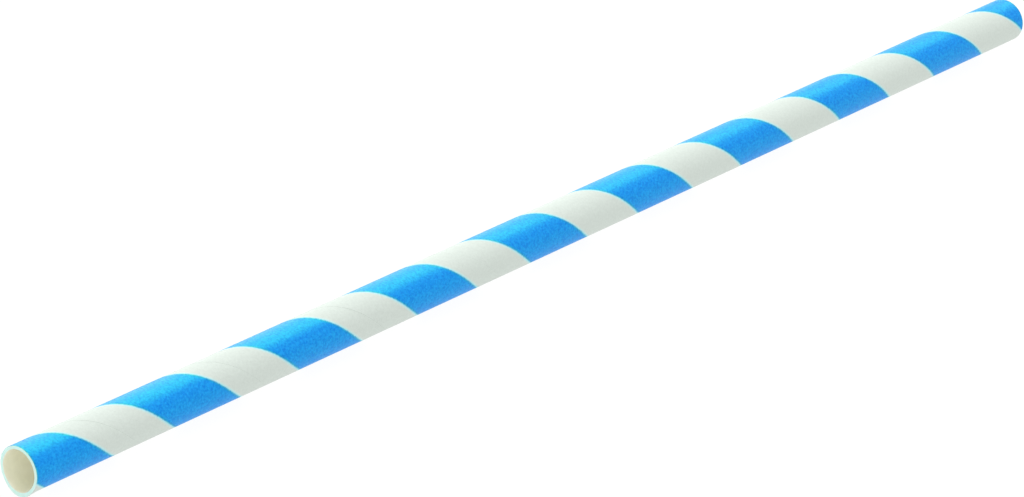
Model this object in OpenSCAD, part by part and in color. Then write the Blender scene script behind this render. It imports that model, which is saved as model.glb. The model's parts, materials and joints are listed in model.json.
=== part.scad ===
/* [Tube] */
// Length of the straw from one cut end to the other
straw_length = 200; // [100:1:260]
// Outside diameter of the wound tube
outer_d = 6.35; // [5:0.05:12]

/* [Paper] */
// Number of paper strips wound over one another to make the wall
ply_count = 3; // [2:1:4]
// Thickness of one strip with its share of the glue
ply_t = 0.165; // [0.1:0.005:0.25]

/* [Winding] */
// Advance of a strip along the straw in one turn
pitch = 22.22; // [16:0.01:40]
// Width of the seam where the two edges of a strip meet, square to them, at the surface
seam_gap = 0.08; // [0.06:0.01:0.3]
// Start of the outer seam on the near rim, in degrees around from the lowest point
outer_seam_start = 22; // [0:1:359]
// Start of the inner seam on the near rim, in degrees around from the lowest point
inner_seam_start = 34; // [0:1:359]

/* [Hidden] */

outer_r = outer_d / 2;
wall = ply_count * ply_t;
bore_r = outer_r - wall;

// Cuts that leave through a face run past it by this much
end_overcut = 1;
seam_overcut = 0.2;

// Facets of the round walls, and straight steps of a seam in one turn
round_facets = 96;
steps_per_turn = 24;

cut_length = straw_length + 2 * end_overcut;
cut_turns = cut_length / pitch;

// Half the angle around the axis that a gap square to the strip's edges takes up at a radius
function half_seam_angle(r) =
  let (rise = atan(pitch / (2 * PI * r)))
  180 * seam_gap / cos(rise) / pitch;

// V-shaped cross-section of a seam: its point at one radius, and the gap's width at the surface
module seam_section(point_r, surface_r) {
  past_surface = sign(surface_r - point_r) * seam_overcut;
  mouth_r = surface_r + past_surface;
  half = half_seam_angle(surface_r) * (mouth_r - point_r) / (surface_r - point_r);
  polygon([[point_r, 0],
           mouth_r * [cos(half), sin(half)],
           mouth_r * [cos(half), -sin(half)]]);
}

// Right-handed helical cut where the edges of one strip meet, through the whole length
module seam_cut(point_r, surface_r, start) {
  translate([0, 0, -end_overcut])
    linear_extrude(height = cut_length, twist = -360 * cut_turns,
                   slices = ceil(cut_turns * steps_per_turn))
      rotate(start - 360 * end_overcut / pitch)
        seam_section(point_r, surface_r);
}

// The glued tube along the local Z axis, with one butt seam outside and one in the bore
module wound_tube() {
  difference() {
    cylinder(h = straw_length, r = outer_r, $fn = round_facets);
    translate([0, 0, -end_overcut])
      cylinder(h = cut_length, r = bore_r, $fn = round_facets);
    seam_cut(outer_r - ply_t, outer_r, outer_seam_start);
    seam_cut(bore_r + ply_t, bore_r, inner_seam_start);
  }
}

// The straw lying on its side along X, with the middle of its underside at the origin
module straw_tube() {
  color("aliceblue")
    translate([-straw_length / 2, 0, outer_r])
      rotate([0, 90, 0])
        wound_tube();
}

straw_tube();
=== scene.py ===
import json
import math

import bmesh
import bpy
from mathutils import Matrix, Vector, noise


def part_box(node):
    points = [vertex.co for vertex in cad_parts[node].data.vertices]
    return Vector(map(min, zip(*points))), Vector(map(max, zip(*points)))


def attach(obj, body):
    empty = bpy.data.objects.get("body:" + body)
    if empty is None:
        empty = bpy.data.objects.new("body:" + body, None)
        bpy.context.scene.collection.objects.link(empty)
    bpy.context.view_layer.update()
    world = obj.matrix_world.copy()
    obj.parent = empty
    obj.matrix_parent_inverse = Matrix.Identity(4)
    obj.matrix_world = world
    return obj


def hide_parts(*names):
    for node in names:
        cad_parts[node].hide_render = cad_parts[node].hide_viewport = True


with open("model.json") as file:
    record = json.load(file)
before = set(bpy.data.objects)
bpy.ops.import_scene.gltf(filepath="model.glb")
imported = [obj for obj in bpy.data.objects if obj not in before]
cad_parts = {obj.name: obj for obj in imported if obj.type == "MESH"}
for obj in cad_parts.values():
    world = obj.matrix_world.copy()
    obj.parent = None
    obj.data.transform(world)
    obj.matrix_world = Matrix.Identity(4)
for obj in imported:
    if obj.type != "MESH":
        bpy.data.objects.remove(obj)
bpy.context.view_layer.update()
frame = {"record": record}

scene = bpy.context.scene
scene.view_settings.view_transform = "Standard"

# The camera. A long lens a little over half a metre away looks down and along the straw from
# beyond its near end, so that the near mouth is open to view and the far end is at the upper right.
camera_place = Vector((-0.45881, -0.39627, 0.26750))
camera_aim = Vector((0.68533, 0.60547, -0.40464))
camera = bpy.data.objects.new("camera", bpy.data.cameras.new("camera"))
camera.data.sensor_width = 36
camera.data.lens = 173.06
camera.location = camera_place
camera.rotation_euler = camera_aim.to_track_quat("-Z", "Y").to_euler()
scene.collection.objects.link(camera)
scene.camera = camera

# The straw tube. Three strips of white paper are glued over one another on a turning mandrel,
# which winds them into one stiff tube, and a knife cuts it to length. The edges of a strip meet in
# a fine butt seam: the outer strip's seam shows outside, and the inner strip's in the bore.
low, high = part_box("straw_tube")
near_end, far_end = low.x, high.x
straw_length = far_end - near_end
outer_radius = (high.z - low.z) / 2
axis_height = (high.z + low.z) / 2
mounts = {mount["name"]: mount for mount in frame["record"]["mounts"]}
bore_radius = mounts["drink_bore"]["dims"]["r_mm"] / 1000

full_turn = 2 * math.pi
ply_count = 3
ply_thickness = (outer_radius - bore_radius) / ply_count
middle_radius = (outer_radius + bore_radius) / 2
turns = 9
pitch = straw_length / turns
rise = math.atan(pitch / (full_turn * outer_radius))
strip_width = pitch * math.cos(rise)

# The print is a band along the outer strip, in angles on the near rim from its lowest point
stripe_start = math.radians(96.65)
stripe_share = 0.517
stripe_stop = stripe_start + stripe_share * full_turn

# A seam gapes most near the mouth, and is tighter here and there
outer_seam_start = math.radians(22)
inner_seam_start = math.radians(34)
seam_width = 0.00010
outer_seam_depth = 0.20 * ply_thickness
inner_seam_depth = 0.07 * ply_thickness
gape_at_mouth = 1.35
gape_lost_along = 2.4
gape_wander = 0.8
gape_wander_length = pitch / 2
least_gape = 0.1

# The knife leaves the ends a little off square, uneven and rounded, and pulls up one small burr
near_skew = Vector((0, -0.016, 0.037))
far_skew = Vector((0, -0.090, 0.010))
knife_rounding = 0.00005
rounding_steps = 2
knife_tremor = 0.000018
tremor_length = 0.001 / 3
glue_line_dip = 0.000015
dip_reach = ply_thickness / 4
burr_angle = math.radians(209)
burr_half = math.radians(3.5)
burr_reach = Vector((-0.00014, 0, 0.00010))

# The lowest part of the near mouth is spread outwards a little
lip_angle = math.radians(2)
lip_half = math.radians(60)
lip_length = 0.0010
lip_reach = 0.00030

# Faces go 5 degrees around and 48 to a turn along, and points closer than a micrometre are one
facet = math.radians(5)
steps_per_turn = 48
one_point = 0.000001
one_angle = 0.0001
cut_face_slope = 0.99

along = Vector((1, 0, 0))
axis_start = Vector((near_end, 0, axis_height))


def point_on_section(angle, radius):
    """A point on the near end's section, with the angle counted from its lowest point."""
    return axis_start + Matrix.Rotation(angle, 3, along) @ Vector((0, 0, -radius))


def place_in_tube(point):
    """How far a point is along the straw, its arm from the axis, and its angle from the lowest line."""
    offset = point - axis_start
    return offset.x, Vector((0, offset.y, offset.z)), math.atan2(offset.y, -offset.z)


def seam_angles(start, radius):
    """The two lips of a seam and the root between them, as angles on the near end's section."""
    slope = math.atan(pitch / (full_turn * radius))
    half = math.pi * seam_width / math.cos(slope) / pitch
    return [start - half, start, start + half]


def draw_section(tube):
    """The wall cut across at the near end: a flat ring with two rows of faces for each ply."""
    stations = seam_angles(outer_seam_start, outer_radius) + seam_angles(inner_seam_start, bore_radius)
    stations += [stripe_start, stripe_stop]
    stations += [burr_angle - burr_half, burr_angle, burr_angle + burr_half]
    stations = sorted(angle % full_turn for angle in stations)
    stations.append(stations[0] + full_turn)
    radii = [bore_radius + row * ply_thickness / 2 for row in range(2 * ply_count + 1)]
    for start, stop in zip(stations, stations[1:]):
        across = [tube.verts.new(point_on_section(start, radius)) for radius in radii]
        edges = [tube.edges.new(pair) for pair in zip(across, across[1:])]
        bmesh.ops.spin(tube, geom=across + edges, cent=axis_start, axis=along,
                       angle=stop - start, steps=math.ceil((stop - start) / facet))
    bmesh.ops.remove_doubles(tube, verts=tube.verts, dist=one_point)


def moved_copy(tube, faces, distance):
    """The same faces again, further along the straw."""
    copied = bmesh.ops.duplicate(tube, geom=faces)["geom"]
    points = [part for part in copied if isinstance(part, bmesh.types.BMVert)]
    bmesh.ops.translate(tube, verts=points, vec=along * distance)


def press_seam(tube, start, surface_radius, depth):
    """Sinks the root of a seam into its ply, as a fine V that the knife closes at the two cuts."""
    for vert in tube.verts:
        distance, arm, angle = place_in_tube(vert.co)
        at_a_cut = min(distance, straw_length - distance) < one_point
        if at_a_cut or abs(arm.length - surface_radius) > one_point:
            continue
        away = angle - full_turn * distance / pitch - start
        if abs(math.remainder(away, full_turn)) < one_angle:
            gape = gape_at_mouth - gape_lost_along * distance / straw_length
            gape += gape_wander * noise.noise(vert.co / gape_wander_length)
            vert.co += arm.normalized() * depth * min(max(gape, least_gape), 1)
            for edge in {edge for face in vert.link_faces for edge in face.edges}:
                edge.smooth = False


def side_of(face):
    """Which finish the inner or outer surface has at a face."""
    distance, arm, angle = place_in_tube(face.calc_center_median())
    if arm.length < middle_radius:
        return bore_side
    in_band = (angle - full_turn * distance / pitch - stripe_start) % full_turn
    return blue_side if in_band < stripe_share * full_turn else white_side


def rough_cut(tube, end, inwards, skew):
    """The knife's trace on one cut: a little off square, uneven, and sunk along the lines of glue."""
    for vert in tube.verts:
        if abs(vert.co.x - end) > one_point:
            continue
        distance, arm, angle = place_in_tube(vert.co)
        plies_in = arm.length - bore_radius
        from_glue = min(abs(plies_in - ply * ply_thickness) for ply in range(1, ply_count))
        depth = knife_tremor * abs(noise.noise(vert.co / tremor_length))
        if from_glue < dip_reach:
            depth += glue_line_dip
        vert.co.x += inwards * depth + skew.dot(arm)


def splay_lip(tube):
    """The lowest part of the near mouth, where the plies have spread a little outwards."""
    for vert in tube.verts:
        distance, arm, angle = place_in_tube(vert.co)
        away = math.remainder(angle - lip_angle, full_turn)
        if distance < lip_length and abs(away) < lip_half:
            through_wall = (arm.length - bore_radius) / (outer_radius - bore_radius)
            swell = (1 - distance / lip_length) * math.cos(math.pi / 2 * away / lip_half) ** 2
            vert.co += arm.normalized() * lip_reach * (1 + through_wall) / 2 * swell


tube = bmesh.new()
draw_section(tube)
rims = [edge for edge in tube.edges if edge.is_boundary]
rim_points = {vert for edge in rims for vert in edge.verts}
moved_copy(tube, tube.faces[:], straw_length)
cuts = set(tube.faces)
bmesh.ops.spin(tube, geom=list(rim_points) + rims, cent=axis_start, axis=along,
               dvec=along * pitch / steps_per_turn, angle=full_turn, steps=steps_per_turn)
first_turn = [face for face in tube.faces if face not in cuts]
for turn in range(1, turns):
    moved_copy(tube, first_turn, pitch * turn)
bmesh.ops.remove_doubles(tube, verts=tube.verts, dist=one_point)
bmesh.ops.recalc_face_normals(tube, faces=tube.faces)
press_seam(tube, outer_seam_start, outer_radius, -outer_seam_depth)
press_seam(tube, inner_seam_start, bore_radius, inner_seam_depth)

# Four finishes on the one wall: bare outer paper, ink, the inner paper, and the cut through it
white_side, blue_side, bore_side, cut_side = range(4)
for face in tube.faces:
    face.material_index = cut_side if abs(face.normal.x) > cut_face_slope else side_of(face)

rough_cut(tube, near_end, 1, near_skew)
rough_cut(tube, far_end, -1, far_skew)
splay_lip(tube)
burr_place = point_on_section(burr_angle, outer_radius)
burr = min(tube.verts, key=lambda vert: (vert.co - burr_place).length)
bmesh.ops.translate(tube, verts=[burr], vec=burr_reach)
cut_edges = [edge for edge in tube.edges
             if sum(face.material_index == cut_side for face in edge.link_faces) == 1]
rounded = bmesh.ops.bevel(tube, geom=cut_edges, offset=knife_rounding, offset_type="OFFSET",
                          segments=rounding_steps, profile=0.5, affect="EDGES", material=-1)
for face in rounded["faces"]:
    face.material_index = side_of(face)

# A ring of points close behind each rounding keeps its shading off the long wall
for end, inwards, skew in ((near_end, 1, near_skew), (far_end, -1, far_skew)):
    behind_rounding = Vector((end + inwards * 3 * knife_rounding, 0, axis_height))
    bmesh.ops.bisect_plane(tube, geom=tube.verts[:] + tube.edges[:] + tube.faces[:],
                           plane_co=behind_rounding, plane_no=along - skew, dist=one_point)
for face in tube.faces:
    face.smooth = True

straw_mesh = bpy.data.meshes.new("straw_tube_paper")
tube.to_mesh(straw_mesh)
tube.free()
straw = bpy.data.objects.new("straw_tube_paper", straw_mesh)
scene.collection.objects.link(straw)

paper_white = (0.634, 0.699, 0.648, 1)
ink_blue = (0.009, 0.153, 0.98, 1)
paper_cream = (0.705, 0.705, 0.545, 1)
paper_cut = (0.66, 0.93, 0.85, 1)

# The ink soaks in at the edge of the band: colours by the distance from the edge, in turns
soaked_edge = [(-0.024, ink_blue), (-0.014, (0.006, 0.160, 0.84, 1)), (-0.006, (0.022, 0.190, 0.80, 1)),
               (0.0, (0.175, 0.525, 0.76, 1)), (0.005, (0.366, 0.728, 0.777, 1)),
               (0.009, (0.473, 0.769, 0.798, 1)), (0.016, (0.596, 0.747, 0.712, 1)),
               (0.028, paper_white)]
edge_wander = 0.004
edge_wander_size = 0.0002

# The ink lies thinner and thicker over the pulp: what each multiplies the colour by
mottle_size = 0.00032
ink_thick = (0.3, 0.40, 0.90, 1)
ink_thin = (1.7, 1.60, 1.08, 1)
mottle_fade = 0.010
pulp_size = 0.00035
cream_cloud_size = 0.0009

fibre_size = 0.00030
cloud_size = 0.0013
outer_relief = 0.00003
inner_relief = 0.00001

ink_gloss_tint = (0.012, 1.0, 0.0, 1)
plain_gloss_tint = (1, 1, 1, 1)
light_spread = (1.0, 0.97, 0.85)


def finish_nodes(name):
    """A new material with its shader, and a short way to add a node and link it."""
    material = bpy.data.materials.new(name)
    material.use_nodes = True
    tree = material.node_tree
    shader = tree.nodes["Principled BSDF"]

    def add(kind, inputs=(), **settings):
        made = tree.nodes.new(kind)
        for key, value in settings.items():
            setattr(made, key, value)
        for socket, value in dict(inputs).items():
            if isinstance(value, bpy.types.NodeSocket):
                tree.links.new(value, made.inputs[socket])
            else:
                made.inputs[socket].default_value = value
        return made

    return material, tree, shader, add


def worked_out(add, operation, first, second=0.0):
    return add("ShaderNodeMath", {0: first, 1: second}, operation=operation).outputs[0]


def place_on_straw(add):
    """Object coordinates counted from the middle of the near mouth."""
    place = add("ShaderNodeTexCoord").outputs["Object"]
    return add("ShaderNodeMapping", {"Vector": place, "Location": -axis_start}).outputs[0]


def from_band_middle(add, place):
    """How far a point is from the middle of the printed band, in turns, 0 to 0.5."""
    parts = add("ShaderNodeSeparateXYZ", {0: place})
    downwards = worked_out(add, "MULTIPLY", parts.outputs["Z"], -1.0)
    angle = worked_out(add, "ARCTAN2", parts.outputs["Y"], downwards)
    wound = worked_out(add, "MULTIPLY", parts.outputs["X"], full_turn / pitch)
    turned = worked_out(add, "SUBTRACT", angle, wound)
    from_middle = worked_out(add, "SUBTRACT", turned, (stripe_start + stripe_stop) / 2)
    share = worked_out(add, "DIVIDE", from_middle, full_turn)
    wrapped = worked_out(add, "FRACT", worked_out(add, "ADD", share, 0.5))
    return worked_out(add, "ABSOLUTE", worked_out(add, "SUBTRACT", wrapped, 0.5))


def from_cut(add, place):
    """How far a point is from the nearer cut end, in metres."""
    near = add("ShaderNodeVectorMath", {0: place, 1: along - near_skew}, operation="DOT_PRODUCT")
    far = add("ShaderNodeVectorMath", {0: place, 1: along - far_skew}, operation="DOT_PRODUCT")
    left_to_far = worked_out(add, "SUBTRACT", straw_length, far.outputs["Value"])
    return worked_out(add, "MINIMUM", near.outputs["Value"], left_to_far)


def speckle(add, place, size, detail=3.0, roughness=0.55):
    """Noise with features of about the given size in metres."""
    return add("ShaderNodeTexNoise", {"Vector": place, "Scale": 1 / size, "Detail": detail,
                                      "Roughness": roughness}).outputs["Fac"]


def ramp(add, factor, stops):
    made = add("ShaderNodeValToRGB", {0: factor})
    elements = made.color_ramp.elements
    while len(elements) < len(stops):
        elements.new(0.5)
    for element, (position, colour) in zip(elements, stops):
        element.position = position
        element.color = colour
    return made.outputs[0]


def grey(value):
    return (value, value, value, 1)


def multiplied(add, factor, first, second):
    mixed = add("ShaderNodeMix", data_type="RGBA", blend_type="MULTIPLY")
    for socket, value in (("Factor", factor), ("A", first), ("B", second)):
        if isinstance(value, bpy.types.NodeSocket):
            mixed.id_data.links.new(value, mixed.inputs[socket])
        else:
            mixed.inputs[socket].default_value = value
    return mixed.outputs["Result"]


def paper_relief(add, shader, tree, place, depth):
    """Fibres and the soft cloudiness of paper, as bump."""
    fibres = speckle(add, place, fibre_size, 4.0, 0.6)
    cloud = speckle(add, place, cloud_size, 2.0)
    height = worked_out(add, "ADD", fibres, cloud)
    bump = add("ShaderNodeBump", {"Strength": 1.0, "Distance": depth, "Height": height})
    tree.links.new(bump.outputs[0], shader.inputs["Normal"])


def printed_finish(name, gloss, gloss_tint, refraction, roughness):
    """The outer strip. Its print is the same field of colour wherever the gloss changes."""
    material, tree, shader, add = finish_nodes(name)
    place = place_on_straw(add)
    half = stripe_share / 2

    # A cut wears the ink as an edge of the band does, so the nearer of the two counts
    worn = worked_out(add, "DIVIDE", from_cut(add, place), strip_width)
    reach = worked_out(add, "MAXIMUM", from_band_middle(add, place), worked_out(add, "SUBTRACT", half, worn))
    wander = worked_out(add, "MULTIPLY", speckle(add, place, edge_wander_size), edge_wander)
    distance = worked_out(add, "ADD", reach, worked_out(add, "SUBTRACT", wander, edge_wander / 2))
    colour = ramp(add, distance, [(half + shift, tone) for shift, tone in soaked_edge])

    printed = ramp(add, distance, [(half - mottle_fade, grey(1)), (half + mottle_fade, grey(0))])
    mottle = ramp(add, speckle(add, place, mottle_size, 3.0, 0.7), [(0.35, ink_thick), (0.65, ink_thin)])
    pulp = ramp(add, speckle(add, place, pulp_size, 3.0, 0.6), [(0.3, grey(0.955)), (0.7, grey(1.03))])
    toned = multiplied(add, printed, multiplied(add, 1.0, colour, pulp), mottle)
    tree.links.new(toned, shader.inputs["Base Color"])
    shader.inputs["Roughness"].default_value = roughness
    shader.inputs["IOR"].default_value = refraction
    shader.inputs["Specular IOR Level"].default_value = gloss
    shader.inputs["Specular Tint"].default_value = gloss_tint
    paper_relief(add, shader, tree, place, outer_relief)
    return material


def plain_finish(name, colour, light_passes, light_depth):
    """Unprinted paper, bare of ink, that lets some light through the thin wall."""
    material, tree, shader, add = finish_nodes(name)
    place = place_on_straw(add)
    shade = ramp(add, speckle(add, place, cream_cloud_size, 4.0), [(0.3, grey(0.95)), (0.7, grey(1.02))])
    tree.links.new(multiplied(add, 1.0, colour, shade), shader.inputs["Base Color"])
    shader.inputs["Roughness"].default_value = 0.75
    shader.inputs["Specular IOR Level"].default_value = 0.1
    shader.inputs["Subsurface Weight"].default_value = light_passes
    shader.inputs["Subsurface Radius"].default_value = light_spread
    shader.inputs["Subsurface Scale"].default_value = light_depth
    paper_relief(add, shader, tree, place, inner_relief)
    return material


# In the order of the four sides: gloss, its tint, refraction and roughness, or the light let through
straw_mesh.materials.append(printed_finish("white_straw_paper", 0.1, plain_gloss_tint, 1.5, 0.6))
straw_mesh.materials.append(printed_finish("blue_printing_ink", 1.0, ink_gloss_tint, 1.9, 0.45))
straw_mesh.materials.append(plain_finish("cream_bore_paper", paper_cream, 1.0, 0.0025))
straw_mesh.materials.append(plain_finish("cut_paper_edge", paper_cut, 0.3, 0.0006))

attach(straw, "root")
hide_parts("straw_tube")

# The floor. A plain white light table, far larger than the straw: a matt sheet that is also lit
# from below, so that the straw leaves hardly a shadow on it. It lies just under the splayed lip.
floor_size = 6
floor_white = 0.05
floor_glow = 0.96
floor_mesh = bmesh.new()
bmesh.ops.create_grid(floor_mesh, x_segments=1, y_segments=1, size=floor_size / 2)
bmesh.ops.translate(floor_mesh, verts=floor_mesh.verts, vec=(0, 0, low.z - lip_reach))
floor_data = bpy.data.meshes.new("floor")
floor_mesh.to_mesh(floor_data)
floor_mesh.free()
floor = bpy.data.objects.new("floor", floor_data)
scene.collection.objects.link(floor)
floor_finish = bpy.data.materials.new("floor_white")
floor_finish.use_nodes = True
floor_shader = floor_finish.node_tree.nodes["Principled BSDF"]
floor_shader.inputs["Base Color"].default_value = grey(floor_white)
floor_shader.inputs["Roughness"].default_value = 0.9
floor_shader.inputs["Specular IOR Level"].default_value = 0.1
floor_shader.inputs["Emission Color"].default_value = grey(1)
floor_shader.inputs["Emission Strength"].default_value = floor_glow
floor_data.materials.append(floor_finish)

# The light. A bright white room all round, and two soft boxes beyond the straw: a large one high
# above, which lays the long highlight on its wall, and a low one behind, which lights its upper edge.
room_brightness = 0.866
world = bpy.data.worlds.new("white_room")
world.use_nodes = True
world.node_tree.nodes["Background"].inputs["Color"].default_value = grey(1)
world.node_tree.nodes["Background"].inputs["Strength"].default_value = room_brightness
scene.world = world


def hang_box(name, direction, distance, size, watts):
    """A square soft box that faces the middle of the straw."""
    towards = Vector(direction).normalized()
    lamp = bpy.data.lights.new(name, "AREA")
    lamp.size = size
    lamp.energy = watts
    soft_box = bpy.data.objects.new(name, lamp)
    soft_box.location = towards * distance
    soft_box.rotation_euler = towards.to_track_quat("Z", "Y").to_euler()
    scene.collection.objects.link(soft_box)


hang_box("high_box", (0.45, 0.225, 0.865), 2.4, 2.4, 39)
hang_box("low_box", (0.5, 0.83, 0.24), 2.4, 1.6, 12.6)
